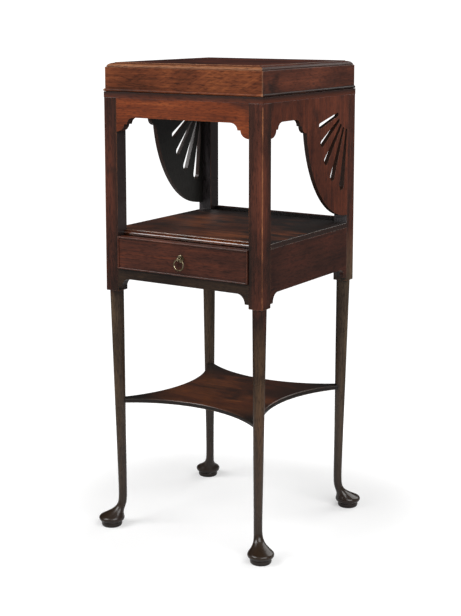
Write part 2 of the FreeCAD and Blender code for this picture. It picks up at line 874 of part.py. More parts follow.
def cock_bead(corners):
    # A thin strip let into an edge of the drawer front, with its two long front edges rounded.
    nose_y = drawer_face_y - cock_bead_proud
    strip = outline_face(corners, plane_y(nose_y)).extrude(along_y * (cock_bead_proud + cock_bead_depth))

    def long_front_edge(bounds):
        in_front = bounds.YMax < drawer_face_y - cock_bead_proud / 2
        return in_front and bounds.DiagonalLength > 2 * cock_bead_width

    return rounded(strip, cock_bead_round, long_front_edge)


def cock_beads():
    # Mitred at the corners of the drawer front.
    in_x = drawer_half - cock_bead_width
    low, in_low = drawer_low_z, drawer_low_z + cock_bead_width
    high, in_high = drawer_high_z, drawer_high_z - cock_bead_width
    right = cock_bead([(drawer_half, low), (drawer_half, high), (in_x, in_high), (in_x, in_low)])
    bottom = cock_bead([(-drawer_half, low), (drawer_half, low), (in_x, in_low), (-in_x, in_low)])
    top = cock_bead([(-drawer_half, high), (drawer_half, high), (in_x, in_high), (-in_x, in_high)])
    return {
        "cock_bead_bottom": bottom,
        "cock_bead_top": top,
        "cock_bead_right": right,
        "cock_bead_left": mirrored(right),
    }


# Ring pull

rosette_face_y = drawer_face_y - rosette_thickness
eye_y = rosette_face_y - eye_stem_length - eye_ring_radius
ring_drop = eye_ring_radius - eye_wire_radius - pull_wire_radius - pull_ring_slack
ring_pivot_z = pull_z - ring_drop


def shank_line():
    return (
        FreeCAD.Vector(0, drawer_face_y, pull_z),
        FreeCAD.Vector(0, drawer_front_back_y + eye_shank_end, pull_z),
    )


def pull_rosette():
    start = FreeCAD.Vector(0, drawer_face_y, pull_z)
    end = FreeCAD.Vector(0, rosette_face_y, pull_z)
    middle_y = (start.y + end.y) / 2
    disc = rounded(rod(rosette_radius, start, end), rosette_round, lambda bounds: bounds.YMax < middle_y)
    return disc.cut(rod(eye_shank_radius + eye_shank_clearance, start, end))


def pull_eye():
    collar = FreeCAD.Vector(0, rosette_face_y, pull_z)
    shank = rod(eye_shank_radius, collar, shank_line()[1])
    stem = rod(eye_stem_radius, FreeCAD.Vector(0, eye_y + eye_ring_radius, pull_z), collar)
    loop = Part.makeTorus(eye_ring_radius, eye_wire_radius, FreeCAD.Vector(0, eye_y, pull_z), along_x)
    return joined([shank, stem, loop])


def pull_nut():
    half = nut_size / 2
    back_y = drawer_front_back_y + nut_thickness
    nut = box(-half, half, drawer_front_back_y, back_y, pull_z - half, pull_z + half)
    return nut.cut(rod(eye_shank_radius + screw_clearance, *shank_line()))


def pull_ring():
    middle = FreeCAD.Vector(0, eye_y, ring_pivot_z - pull_ring_radius)
    return Part.makeTorus(pull_ring_radius, pull_wire_radius, middle, along_y)


# Every node, the legs last because the tenons shape them

nodes = {
    "front_top_rail": front_top_rail(),
    "back_top_rail": back_top_rail(),
    "side_panel_left": fan_side_panel(-1),
    "side_panel_right": fan_side_panel(1),
    "basin_board": basin_board(),
    "glue_blocks": glue_blocks(),
    "shelf_board": shelf_board(),
    "lower_panel_left": lower_side_panel(-1),
    "lower_panel_right": lower_side_panel(1),
    "lower_panel_back": lower_back_panel(),
    "front_lower_rail": front_lower_rail(),
    "drawer_runner_right": drawer_runner(),
    "drawer_runner_left": mirrored(drawer_runner()),
    "drawer_guide_right": drawer_guide(),
    "drawer_guide_left": mirrored(drawer_guide()),
    "drawer_stops": Part.makeCompound([drawer_stop(), mirrored(drawer_stop())]),
    "undertier": undertier(),
    "lid_top": lid_top(),
    "drawer_front": drawer_front(),
    "drawer_side_right": drawer_side(),
    "drawer_side_left": mirrored(drawer_side()),
    "drawer_back": drawer_back(),
    "drawer_bottom": drawer_bottom(),
    "pull_rosette": pull_rosette(),
    "pull_eye": pull_eye(),
    "pull_nut": pull_nut(),
    "pull_ring": pull_ring(),
    "board_hinge_screws": Part.makeCompound(leaf_screws(board_top_z, -1)),
    "lid_hinge_screws": Part.makeCompound(leaf_screws(lid_base_z, 1)),
}
nodes.update(lid_sides())
nodes.update(lid_beads())
nodes.update(cock_beads())
for side, middle in zip(("left", "right"), hinge_middles):
    board_leaf = hinge_leaf(middle, board_top_z - hinge_leaf_thickness, board_top_z, 0)
    lid_leaf = hinge_leaf(middle, lid_base_z, lid_base_z + hinge_leaf_thickness, 1)
    nodes["hinge_board_leaf_" + side] = board_leaf.cut(leaf_screws(board_top_z, -1, screw_clearance))
    nodes["hinge_lid_leaf_" + side] = lid_leaf.cut(leaf_screws(lid_base_z, 1, screw_clearance))
    nodes["hinge_pin_" + side] = hinge_pin(middle)
nodes.update(legs())

os.makedirs("parts", exist_ok=True)
for name, shape in nodes.items():
    shape.exportStep("parts/" + name + ".step")
    print(name, len(shape.Solids), "solids", round(shape.Volume), "cubic mm")
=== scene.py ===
import bpy
import json
import math
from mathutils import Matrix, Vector

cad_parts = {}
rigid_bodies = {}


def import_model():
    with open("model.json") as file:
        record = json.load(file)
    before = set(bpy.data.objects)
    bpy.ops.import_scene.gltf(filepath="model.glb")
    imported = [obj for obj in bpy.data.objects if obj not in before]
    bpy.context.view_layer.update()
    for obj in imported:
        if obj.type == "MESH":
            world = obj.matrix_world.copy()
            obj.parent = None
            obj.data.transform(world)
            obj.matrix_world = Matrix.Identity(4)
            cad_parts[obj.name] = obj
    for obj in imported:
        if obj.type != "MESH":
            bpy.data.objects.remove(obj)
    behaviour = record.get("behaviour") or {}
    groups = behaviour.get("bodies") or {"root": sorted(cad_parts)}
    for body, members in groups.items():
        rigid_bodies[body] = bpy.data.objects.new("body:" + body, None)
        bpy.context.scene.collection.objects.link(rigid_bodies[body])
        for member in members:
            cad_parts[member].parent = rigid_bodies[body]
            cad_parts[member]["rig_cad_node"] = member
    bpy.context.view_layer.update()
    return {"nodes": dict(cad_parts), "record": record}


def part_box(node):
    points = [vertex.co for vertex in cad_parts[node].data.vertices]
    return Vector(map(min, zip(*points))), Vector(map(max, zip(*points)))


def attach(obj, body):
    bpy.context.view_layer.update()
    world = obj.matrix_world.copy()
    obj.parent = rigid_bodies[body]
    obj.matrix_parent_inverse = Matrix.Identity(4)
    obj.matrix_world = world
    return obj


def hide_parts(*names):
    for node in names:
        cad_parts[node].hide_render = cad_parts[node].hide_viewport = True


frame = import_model()
scene = bpy.context.scene
nodes = frame["nodes"]
bodyOf = {n: body for body, members in frame["record"]["behaviour"]["bodies"].items() for n in members}
print("frame loaded,", len(nodes), "CAD nodes")

# places that the finishes follow, in metres
boardLow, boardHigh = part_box("basin_board")
lidLow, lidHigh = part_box("lid_front")
standHalf = boardHigh[0]      # from the middle to the outer faces of the posts
frameTop = boardLow[2]        # where the basin board lies flush on the frame
boardTop = boardHigh[2]
lidHalf = lidHigh[0]
lidFoot = lidLow[2]
postFoot = 0.44               # the legs are square posts above this and turned below it

white = "#ffffff"
noiseMiddle = 0.5             # mean of a noise pattern
cornerRays = 8                # samples of each test for corners
arrisRays = 6                 # samples of each test for arrises


def linear(hexColour):
    # sRGB hex to the linear colour that the sockets take
    steps = [int(hexColour[i:i + 2], 16) / 255 for i in (1, 3, 5)]
    return [c / 12.92 if c < 0.04045 else ((c + 0.055) / 1.055) ** 2.4 for c in steps] + [1.0]


def put(tree, kind, sockets=None, out=0, stops=None, **settings):
    # adds one node and gives back one of its outputs
    # a socket takes a value, a hex colour or another node's output, and stops are (place, hex colour)
    # MapRange: 0 value, 1 and 2 from, 3 and 4 to.  Mix: 0 share, 2 and 3 numbers, 6 and 7 colours
    node = tree.nodes.new("ShaderNode" + kind)
    for key, value in settings.items():
        setattr(node, key, value)
    for key, value in (sockets or {}).items():
        if isinstance(value, bpy.types.NodeSocket):
            tree.links.new(value, node.inputs[key])
        else:
            node.inputs[key].default_value = linear(value) if isinstance(value, str) else value
    for i, (place, shade) in enumerate(stops or []):
        if i >= len(node.color_ramp.elements):
            node.color_ramp.elements.new(place)
        node.color_ramp.elements[i].position = place
        node.color_ramp.elements[i].color = linear(shade)
    return node.outputs[out] if len(node.outputs) else node


def newMaterial(name):
    material = bpy.data.materials.new(name)
    material.use_nodes = True
    return material, material.node_tree, material.node_tree.nodes["Principled BSDF"]


def grainSize(grain, longMm, wideMm):
    # mapping scale for a pattern that is longMm along the grain and wideMm across it
    return [1000 / (longMm if axis == grain else wideMm) for axis in "XYZ"]


def grainPatterns(tree, place, grain, sizes):
    # the patterns that a wood's sizes list, each stretched along the grain
    pattern = {}
    for patternName, (longMm, wideMm, detail, wander) in sizes.items():
        stretched = put(tree, "Mapping", {"Vector": place, "Scale": grainSize(grain, longMm, wideMm)})
        pattern[patternName] = put(tree, "TexNoise", {"Vector": stretched, "Scale": 1, "Detail": detail,
                                                      "Distortion": wander})
    return pattern


# the solids' arrises as a plane and a rag leave them
easing = {"merge": 2e-6, "flat": 0.1, "segments": 2, "sharp": 38, "smooth": 50}     # metres, degrees


def easedCopy(nodeName, ease, material):
    # a merged copy of a CAD solid with its sharp arrises eased by so many mm, standing in that node's place
    node = nodes[nodeName]
    bpy.ops.object.select_all(action="DESELECT")
    node.select_set(True)
    bpy.context.view_layer.objects.active = node
    bpy.ops.object.duplicate()
    piece = bpy.context.active_object
    piece.name = "eased_" + nodeName
    piece.data.name = piece.name
    del piece["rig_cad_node"]
    bpy.ops.object.mode_set(mode="EDIT")
    bpy.ops.mesh.select_all(action="SELECT")
    bpy.ops.mesh.remove_doubles(threshold=easing["merge"])
    bpy.ops.mesh.dissolve_limited(angle_limit=math.radians(easing["flat"]))
    bpy.ops.object.mode_set(mode="OBJECT")
    bevel = piece.modifiers.new("ease", "BEVEL")
    bevel.width = ease / 1000
    bevel.segments = easing["segments"]
    bevel.limit_method = "ANGLE"
    bevel.angle_limit = math.radians(easing["sharp"])
    bevel.use_clamp_overlap = False
    bevel.miter_outer = "MITER_ARC"
    bpy.ops.object.modifier_apply(modifier="ease")
    bpy.ops.object.shade_smooth_by_angle(angle=math.radians(easing["smooth"]))
    level = piece.modifiers.new("level", "WEIGHTED_NORMAL")
    level.keep_sharp = True
    bpy.ops.object.modifier_apply(modifier="level")
    piece.data.materials.clear()
    piece.data.materials.append(material)
    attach(piece, bodyOf[nodeName])
    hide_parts(nodeName)


# mahogany, french polished and waxed for two centuries: deep red-brown with darker growth figure,
# fine dark pores in dashes along the grain, arrises rubbed pale, painted shade darkening the corners
mahoganySizes = {
    # pattern: mm along the grain, mm across it, detail, wander
    "figure": (210, 17, 3, 0.5),       # growth figure
    "streaks": (80, 2.6, 4, 0.2),
    "pores": (11, 1.5, 2, 0),          # real pores are 5 x 0.3 mm, drawn coarser so that they show
    "patina": (110, 110, 3, 0.4),      # broad patches of fading
    "stains": (120, 50, 4, 0.8),       # old spills and dark polish
    "wearBreaks": (30, 30, 4, 0),      # gaps in the rubbed arrises
    "waviness": (60, 60, 1, 0),        # hand-planed surface
}

# what all the mahogany has alike, unless a piece's own look says otherwise
# ranges are where an effect starts and where it is full, reaches and depths are in mm
mahoganyFinish = {
    "streakShare": 0.55, "patinaShare": 0.42, "spread": 0.1,
    "stainRange": 0.16, "stainShare": 0.9, "darkTowards": (), "darkMore": 0.16,
    # painted shade on faces turned to the inside of the stand
    "inside": {}, "insideFacing": (-0.3, -0.85), "insideHeight": (postFoot + 0.005, postFoot + 0.015),
    "pore": "#aaa29e", "poreRange": (0.36, 0.5), "poreShare": 0.85,
    # painted shade in the corners, found by an occlusion test: grey, reach in mm, range and share
    "cornerShading": "#8a8481", "cornerShadingReach": 18, "cornerShadingRange": (0.35, 0.95), "cornerShadingShare": 0.85,
    "arrisReach": 1.7, "arrisRange": (0.995, 0.93), "freeReach": 4, "freeRange": (0.88, 0.98),
    "cornerReach": (2.2, 0.8), "cornerRise": 10, "wearRange": (0.38, 0.6), "leastWear": 0.2,
    "patinaRange": (0.3, 0.7), "mouldedRange": (0.99, 0.95), "wornDulling": 0.1,
    "ior": 1.5, "polish": 0.4, "coat": 0.1, "coatRough": 0.1,
    "relief": 0.3, "wavinessDepth": 0.9, "poreDepth": 0.4, "poreRelief": 0.7,
}


def figuredColour(tree, look, place, at, pattern):
    # the wood's colour: growth figure and streaks, faded in patches, with old spills, made darker towards the
    # places that a look's darkTowards gives, which on some pieces is painted shade
    tone = put(tree, "Mix", {0: look["streakShare"], 2: pattern["figure"], 3: pattern["streaks"]})
    if "roe" in look:
        # roe figure: slanting bands that cross the grain
        roe = look["roe"]
        slanted = put(tree, "Mapping", {"Vector": place, "Rotation": (0, math.radians(roe["slant"]), 0)})
        slanted = put(tree, "Mapping", {"Vector": slanted,
                                        "Scale": grainSize(look["grain"], roe["long"], roe["wide"])})
        bands = put(tree, "TexNoise", {"Vector": slanted, "Scale": 1, "Detail": roe["detail"],
                                       "Distortion": roe["wander"]})
        share = put(tree, "MapRange", {0: at["X"], 1: roe["from"], 2: roe["to"],
                                       3: roe["leastShare"], 4: roe["share"]})
        tone = put(tree, "Mix", {0: share, 2: tone, 3: bands})
    tone = put(tree, "Mix", {0: look["patinaShare"], 2: tone, 3: pattern["patina"]})
    places = (noiseMiddle - look["spread"], noiseMiddle, noiseMiddle + look["spread"])
    colour = put(tree, "ValToRGB", {0: tone}, stops=zip(places, look["shades"]))

    if "stain" in look:
        stains = pattern["stains"]
        # darker towards given places: real stain on some pieces, painted shade or shadow on the rail, fan
        # panels, shelf and undertier
        for axis, start, stop in look["darkTowards"]:
            more = put(tree, "MapRange", {0: at[axis], 1: start, 2: stop, 4: look["darkMore"]})
            stains = put(tree, "Math", {0: stains, 1: more}, operation="ADD")
        stainFull = look["stainFrom"] + look["stainRange"]
        stained = put(tree, "MapRange", {0: stains, 1: look["stainFrom"], 2: stainFull,
                                         4: look["stainShare"]})
        colour = put(tree, "Mix", {0: stained, 6: colour, 7: look["stain"]}, 2, data_type="RGBA")

    if "lowShades" in look:
        lowColour = put(tree, "ValToRGB", {0: tone}, stops=zip(places, look["lowShades"]))
        colour = legColour(tree, look, at, colour, lowColour)
    return colour


def legColour(tree, look, at, colour, lowColour):
    # the turned legs are browner than the posts above them, and nearly black at the feet
    low = put(tree, "MapRange", {0: at["Z"], 1: look["lowTo"], 2: look["lowFrom"]})
    colour = put(tree, "Mix", {0: low, 6: colour, 7: lowColour}, 2, data_type="RGBA")
    foot = put(tree, "MapRange", {0: at["Z"], 1: look["footTo"], 2: look["footFrom"]})
    colour = put(tree, "Mix", {0: foot, 6: colour, 7: look["foot"]}, 2, data_type="RGBA")

    # painted shade: the sides of the posts towards the joints are darker than the outer corners, most of all
    # in front
    jointShadeLook = look["jointShade"]
    away = {axis: put(tree, "Math", {0: at[axis]}, operation="ABSOLUTE") for axis in "XY"}
    outward = put(tree, "Math", {0: away["X"], 1: away["Y"]}, operation="MINIMUM")
    jointShading = put(tree, "MapRange", {0: outward, 1: jointShadeLook["bright"], 2: jointShadeLook["dark"], 4: jointShadeLook["share"]})
    front = put(tree, "MapRange", {0: at["Y"], 1: jointShadeLook["back"], 2: jointShadeLook["front"], 3: jointShadeLook["backShare"]})
    front = put(tree, "Math", {0: front, 1: low}, operation="MAXIMUM")
    jointShading = put(tree, "Math", {0: jointShading, 1: front}, operation="MULTIPLY")
    return put(tree, "Mix", {0: jointShading, 6: colour, 7: jointShadeLook["colour"]}, 2, data_type="RGBA")


def agedColour(tree, look, colour, spot, at, facing, pattern):
    # what polish, dirt and wax have made of the wood's colour
    if "tips" in look:
        # painted shade: darker towards the four corners, where the undertier meets the legs under the stand
        tips = look["tips"]
        across = put(tree, "VectorMath", {0: spot, 1: (1, 1, 0)}, operation="MULTIPLY")
        reach = put(tree, "VectorMath", {0: across}, "Value", operation="LENGTH")
        reach = put(tree, "Math", {0: pattern["patina"], 1: tips["wander"], 2: reach},
                    operation="MULTIPLY_ADD")
        darker = put(tree, "MapRange", {0: reach, 1: tips["from"], 2: tips["to"]})
        colour = put(tree, "Mix", {0: darker, 6: colour, 7: tips["colour"]}, 2, data_type="RGBA")

    if "edge" in look:
        # moulded or sawn edges get a colour of their own: darker sawn edges, partly painted shade on the fan
        # panels; on the lid top's moulding a painted highlight in front and painted shade at the sides
        edge = look["edge"]
        edgeColour = edge["colour"]
        tilt = {axis: put(tree, "Math", {0: facing[axis]}, operation="ABSOLUTE") for axis in "XZ"}
        turned = put(tree, "MapRange", {0: tilt[edge["axis"]], 1: edge["from"], 2: edge["to"]})
        if "top" in edge:
            # painted shadow under the lid's bead: the edge darkens upwards
            fade = put(tree, "MapRange", {0: at["Z"], 1: edge["fadeFrom"], 2: edge["fadeTo"]})
            edgeColour = put(tree, "Mix", {0: fade, 6: edgeColour, 7: edge["top"]}, 2, data_type="RGBA")
        if "side" in edge:
            # painted shade on the moulding where it faces sideways
            sideways = put(tree, "MapRange", {0: tilt["X"], 1: edge["sideFrom"], 2: edge["sideTo"]})
            edgeColour = put(tree, "Mix", {0: sideways, 6: edgeColour, 7: edge["side"]}, 2, data_type="RGBA")
        colour = put(tree, "Mix", {0: turned, 6: colour, 7: edgeColour}, 2, data_type="RGBA")

    # painted shade: faces turned to the inside of the stand take a darker, greyer colour
    for axis, shade in look["inside"].items():
        side = put(tree, "Math", {0: at[axis]}, operation="SIGN")
        inward = put(tree, "Math", {0: side, 1: facing[axis]}, operation="MULTIPLY")
        start, full = look["insideFacing"]
        inward = put(tree, "MapRange", {0: inward, 1: start, 2: full})
        start, full = look["insideHeight"]
        upper = put(tree, "MapRange", {0: at["Z"], 1: start, 2: full})
        inward = put(tree, "Math", {0: inward, 1: upper}, operation="MULTIPLY")
        colour = put(tree, "Mix", {0: inward, 6: colour, 7: shade}, 2, data_type="RGBA")

    dashes = put(tree, "ValToRGB", {0: pattern["pores"]}, stops=zip(look["poreRange"], (look["pore"], white)))
    colour = put(tree, "Mix", {0: look["poreShare"], 6: colour, 7: dashes}, 2, data_type="RGBA",
                 blend_type="MULTIPLY")
    # painted shade: darker and greyer in the corners, where an occlusion test finds other surfaces close by
    corner = put(tree, "AmbientOcclusion", {"Distance": look["cornerShadingReach"] / 1000}, "AO", samples=cornerRays)
    cornerShaded = put(tree, "ValToRGB", {0: corner}, stops=zip(look["cornerShadingRange"], (look["cornerShading"], white)))
    return put(tree, "Mix", {0: look["cornerShadingShare"], 6: colour, 7: cornerShaded}, 2, data_type="RGBA",
               blend_type="MULTIPLY")


def rubbedArrises(tree, look, at, pattern):
    # free arrises are rubbed in broken lines, the ones shut in a joint are not
    rounded = put(tree, "Bevel", {"Radius": look["arrisReach"] / 1000}, samples=arrisRays)
    flat = put(tree, "NewGeometry", out="Normal")
    turned = put(tree, "VectorMath", {0: rounded, 1: flat}, "Value", operation="DOT_PRODUCT")
    start, full = look["arrisRange"]
    turned = put(tree, "MapRange", {0: turned, 1: start, 2: full})
    free = put(tree, "AmbientOcclusion", {"Distance": look["freeReach"] / 1000, "Normal": rounded}, "AO",
               samples=cornerRays)
    start, full = look["freeRange"]
    free = put(tree, "MapRange", {0: free, 1: start, 2: full})
    worn = put(tree, "Math", {0: turned, 1: free}, operation="MULTIPLY")
    if "corners" in look:
        # upright corners of the lid and of the posts, rubbed on both faces
        inset = {}
        for axis in "XY":
            away = put(tree, "Math", {0: at[axis]}, operation="ABSOLUTE")
            inset[axis] = put(tree, "Math", {0: look["corners"], 1: away}, operation="SUBTRACT")
        upright = put(tree, "Math", {0: inset["X"], 1: inset["Y"]}, operation="MAXIMUM")
        start, full = look["cornerReach"]
        upright = put(tree, "MapRange", {0: upright, 1: start / 1000, 2: full / 1000})
        cornersFull = look["cornersFrom"] + look["cornerRise"] / 1000
        square = put(tree, "MapRange", {0: at["Z"], 1: look["cornersFrom"], 2: cornersFull})
        upright = put(tree, "Math", {0: upright, 1: square}, operation="MULTIPLY")
        worn = put(tree, "Math", {0: worn, 1: upright}, operation="MAXIMUM")
    if "wearWhere" in look:
        # less rub where hands and cloths don't reach
        axis, start, full, least = look["wearWhere"]
        reached = put(tree, "MapRange", {0: at[axis], 1: start, 2: full, 3: least})
        worn = put(tree, "Math", {0: worn, 1: reached}, operation="MULTIPLY")
    start, full = look["wearRange"]
    broken = put(tree, "MapRange", {0: pattern["wearBreaks"], 1: start, 2: full,
                                    3: look["wear"] * look["leastWear"], 4: look["wear"]})
    return put(tree, "Math", {0: worn, 1: broken}, operation="MULTIPLY")


def mahogany(name, ownLook):
    look = {**mahoganyFinish, **ownLook}
    material, tree, shader = newMaterial("polished mahogany, " + name)
    spot = put(tree, "TexCoord", out="Object")
    normal = put(tree, "TexCoord", out="Normal")
    place = put(tree, "Mapping", {"Vector": spot, "Location": look["shift"]})
    at = {axis: put(tree, "SeparateXYZ", {0: spot}, axis) for axis in "XYZ"}
    facing = {axis: put(tree, "SeparateXYZ", {0: normal}, axis) for axis in "XYZ"}
    pattern = grainPatterns(tree, place, look["grain"], mahoganySizes)

    colour = figuredColour(tree, look, place, at, pattern)
    colour = agedColour(tree, look, colour, spot, at, facing, pattern)
    worn = rubbedArrises(tree, look, at, pattern)
    colour = put(tree, "Mix", {0: worn, 6: colour, 7: look["rubbed"]}, 2, data_type="RGBA")
    tree.links.new(colour, shader.inputs["Base Color"])

    dullest, brightest = look["gloss"]     # roughness of dull and of bright patches
    start, full = look["patinaRange"]
    sheen = put(tree, "MapRange", {0: pattern["patina"], 1: start, 2: full, 3: brightest, 4: dullest})
    if "edgeGloss" in look:
        start, full = look["mouldedRange"]
        moulded = put(tree, "MapRange", {0: facing["Z"], 1: start, 2: full})
        sheen = put(tree, "Mix", {0: moulded, 2: sheen, 3: look["edgeGloss"]})
    sheen = put(tree, "Math", {0: worn, 1: look["wornDulling"], 2: sheen}, operation="MULTIPLY_ADD")
    tree.links.new(sheen, shader.inputs["Roughness"])
    shader.inputs["IOR"].default_value = look["ior"]
    shader.inputs["Specular IOR Level"].default_value = look["polish"]
    shader.inputs["Coat Weight"].default_value = look["coat"]
    shader.inputs["Coat Roughness"].default_value = look["coatRough"]

    planed = put(tree, "Bump", {"Height": pattern["waviness"], "Strength": look["relief"],
                                "Distance": look["wavinessDepth"] / 1000})
    grained = put(tree, "Bump", {"Height": pattern["pores"], "Strength": look["relief"] * look["poreRelief"],
                                 "Distance": look["poreDepth"] / 1000, "Normal": planed})
    tree.links.new(grained, shader.inputs["Normal"])
    return material


def frenchPolish(name, look, *nodeNames):
    # one finish for the pieces that it is used on
    material = mahogany(name, look)
    for nodeName in nodeNames:
        easedCopy(nodeName, look["ease"], material)


# no rub close under the basin board, which sits flush on the frame: axis, start, full, least
underBoard = ("Z", frameTop - 0.005, frameTop - 0.007, 0)

# legs: square posts above, turned and tapering below, on pad feet
legLook = {
    "ease": 0.6, "grain": "Z", "shift": (0.31, 0.12, 0.0), "spread": 0.12,
    "shades": ("#341a11", "#52291c", "#6c3725"), "lowShades": ("#3d3026", "#5c4a37", "#735c45"),
    "lowFrom": 0.425, "lowTo": 0.443, "foot": "#2a1d11", "footFrom": 0.02, "footTo": 0.21,
    "stain": "#21140e", "stainFrom": 0.57, "darkTowards": (("Z", 0.62, postFoot),),
    # painted shade on the inward faces and on the posts' sides towards the joints
    "inside": {"X": "#332826", "Y": "#565153"},
    "jointShade": {"bright": standHalf - 0.007, "dark": standHalf - 0.026, "colour": "#24160f", "share": 0.68,
                "front": -0.05, "back": 0.05, "backShare": 0.1},
    "corners": standHalf, "cornersFrom": postFoot, "rubbed": "#a2653f", "wear": 0.85, "wearWhere": underBoard,
    "gloss": (0.34, 0.24), "coat": 0.25, "coatRough": 0.06, "relief": 0.08,
}
# the front right leg stays red further down, the back legs are brown up into the post
rightLegLook = {**legLook, "lowShades": ("#39291e", "#563f2b", "#6c4f36"), "lowFrom": 0.36, "lowTo": 0.42,
                "footTo": 0.3}
backLegLook = {**legLook, "lowShades": ("#44382d", "#665440", "#7f684f"), "lowFrom": 0.44, "lowTo": 0.54}
frenchPolish("front left leg", legLook, "leg_front_left")
frenchPolish("front right leg", rightLegLook, "leg_front_right")
frenchPolish("back legs", backLegLook, "leg_back_left", "leg_back_right")
print("legs done")

# rails and panels round the stand
railLook = {
    "ease": 0.25, "grain": "X", "shift": (0.07, 0.4, 0.13), "spread": 0.13,
    "shades": ("#58250e", "#803a17", "#9c5126"), "stain": "#431c0e", "stainFrom": 0.57,
    # darker towards both ends, painted shadow under the lid's bead along the top, painted shade on the inward
    # faces
    "darkTowards": (("X", 0.09, 0.15), ("X", -0.09, -0.15), ("Z", frameTop - 0.013, frameTop + 0.003)),
    "inside": {"X": "#361d14", "Y": "#221b19"},
    "rubbed": "#a9724c", "wear": 0.4, "wearWhere": underBoard, "gloss": (0.46, 0.34),
}
# the lower rail's near-black shades are painted shadow from the drawer front above it, with painted shade on
# its inward faces
shadowedLowRailLook = {
    "ease": 0.5, "grain": "X", "shift": (0.5, 0.1, 0.6), "shades": ("#1a120d", "#281b12", "#382719"),
    "inside": {"X": "#221b19", "Y": "#221b19"}, "rubbed": "#5c4230", "wear": 0.35, "gloss": (0.44, 0.32),
}
sideLook = {
    "ease": 0.25, "grain": "Z", "shift": (0.2, 0.3, 0.5), "spread": 0.13,
    "shades": ("#3c1a10", "#592a19", "#743822"), "stain": "#331a12", "stainFrom": 0.58,
    # darker towards the front; painted shadow under the lid's bead along the tops; sawn edges dark, partly as
    # painted shade; painted shade on the inward faces
    "darkTowards": (("Y", -0.06, -0.16), ("Z", frameTop - 0.013, frameTop + 0.005)),
    "edge": {"axis": "X", "from": 0.6, "to": 0.25, "colour": "#38261f"}, "inside": {"X": "#3a3936"},
    "rubbed": "#8d5d42", "wear": 0.45, "wearWhere": underBoard, "gloss": (0.44, 0.32),
}
lowSideLook = {
    "ease": 0.5, "grain": "Y", "shift": (0.6, 0.2, 0.1), "spread": 0.14,
    # painted shade on the inward faces
    "shades": ("#2a1510", "#402117", "#54291d"), "inside": {"X": "#221b19"},
    "rubbed": "#8d5d42", "wear": 0.5, "gloss": (0.44, 0.32),
}
backLook = {
    "ease": 0.5, "grain": "X", "shift": (0.25, 0.7, 0.4), "spread": 0.13,
    "shades": ("#34190f", "#4f2818", "#693820"), "stain": "#22130d", "stainFrom": 0.57,
    # painted shade on the inward faces
    "inside": {"X": "#221b19", "Y": "#221b19"}, "rubbed": "#8d5d42", "wear": 0.5, "gloss": (0.5, 0.38),
}
frenchPolish("top rail", railLook, "front_top_rail")
frenchPolish("lower rail", shadowedLowRailLook, "front_lower_rail")
frenchPolish("fan panels", sideLook, "side_panel_left", "side_panel_right")
frenchPolish("lower panels", lowSideLook, "lower_panel_left", "lower_panel_right")
frenchPolish("back panel", backLook, "back_top_rail", "lower_panel_back")
print("rails and panels done")

# boards: the shelf, the basin board and the undertier
shelfLook = {
    "ease": 0.4, "grain": "X", "shift": (0.9, 0.35, 0.2), "shades": ("#25110a", "#49220f", "#7a401d"),
    # darker towards the back and the right: painted shade deep in the bay
    "stain": "#0f0906", "stainFrom": 0.52, "darkTowards": (("Y", -0.02, 0.14), ("X", 0.06, 0.15)),
    "edge": {"axis": "X", "from": 0.5, "to": 0.8, "colour": "#2e1a13"},
    # the near-white rub on the front moulding is mostly a painted highlight, on top of real wear
    "rubbed": "#efd6b8", "wear": 1.0, "wearWhere": ("Y", -0.12, -0.14, 0.25),
    "gloss": (0.46, 0.36), "edgeGloss": 0.08, "polish": 1.0, "coat": 0.0, "relief": 0.15,
}
tierLook = {
    "ease": 0.6, "grain": "X", "shift": (0.15, 0.8, 0.4), "spread": 0.15,
    "shades": ("#2d160c", "#552b16", "#7d4722"),
    # darker towards the back: painted shade under the stand
    "stain": "#2b160c", "stainFrom": 0.52, "darkTowards": (("Y", -0.04, 0.1),),
    "edge": {"axis": "Z", "from": 0.6, "to": 0.25, "colour": "#1a110b"},
    # painted shade towards the corners by the legs
    "tips": {"from": 0.12, "to": 0.21, "wander": 0.06, "colour": "#150e0a"},
    "rubbed": "#c39a72", "wear": 0.75, "gloss": (0.42, 0.3), "coat": 0.4, "relief": 0.05,
}
basinLook = {
    "ease": 0.2, "grain": "X", "shift": (0.45, 0.05, 0.9), "shades": ("#3a1c10", "#632e18", "#854624"),
    # the edge darkens upwards to a painted shadow under the lid's bead
    "edge": {"axis": "Z", "from": 0.6, "to": 0.25, "colour": "#5c2a16",
             "top": "#29150d", "fadeFrom": frameTop + 0.001, "fadeTo": boardTop - 0.001},
    "rubbed": "#a87850", "wear": 0.3, "wearWhere": underBoard, "gloss": (0.48, 0.34),
}
frenchPolish("shelf", shelfLook, "shelf_board")
frenchPolish("undertier", tierLook, "undertier")
frenchPolish("basin board", basinLook, "basin_board")
print("boards done")

# lid: a shallow box with a moulded top and a bead round its foot
lidCorners = {"corners": lidHalf, "cornersFrom": lidFoot - 0.015}
lidFrontLook = {
    "ease": 0.5, "grain": "X", "shift": (0.05, 0.6, 0.7), "shades": ("#46220f", "#6a351c", "#8d4d29"),
    "roe": {"slant": 30, "long": 120, "wide": 5, "detail": 4, "wander": 0.5,
            "from": -0.12, "to": 0.05, "leastShare": 0.08, "share": 0.45},
    "stain": "#351b11", "stainFrom": 0.56, "darkTowards": (("X", 0.11, 0.2),),
    **lidCorners, "rubbed": "#a0765a", "wear": 0.75, "gloss": (0.58, 0.48), "polish": 0.2, "coat": 0.0,
}
lidSideLook = {
    "ease": 0.5, "grain": "Y", "shift": (0.4, 0.9, 0.3), "spread": 0.13,
    "shades": ("#3b1c11", "#592c1c", "#733b25"),
    "stain": "#2c1811", "stainFrom": 0.56, "darkTowards": (("Y", -0.08, -0.2), ("Y", 0.1, 0.2)),
    **lidCorners, "rubbed": "#94694e", "wear": 0.5, "gloss": (0.44, 0.32),
}
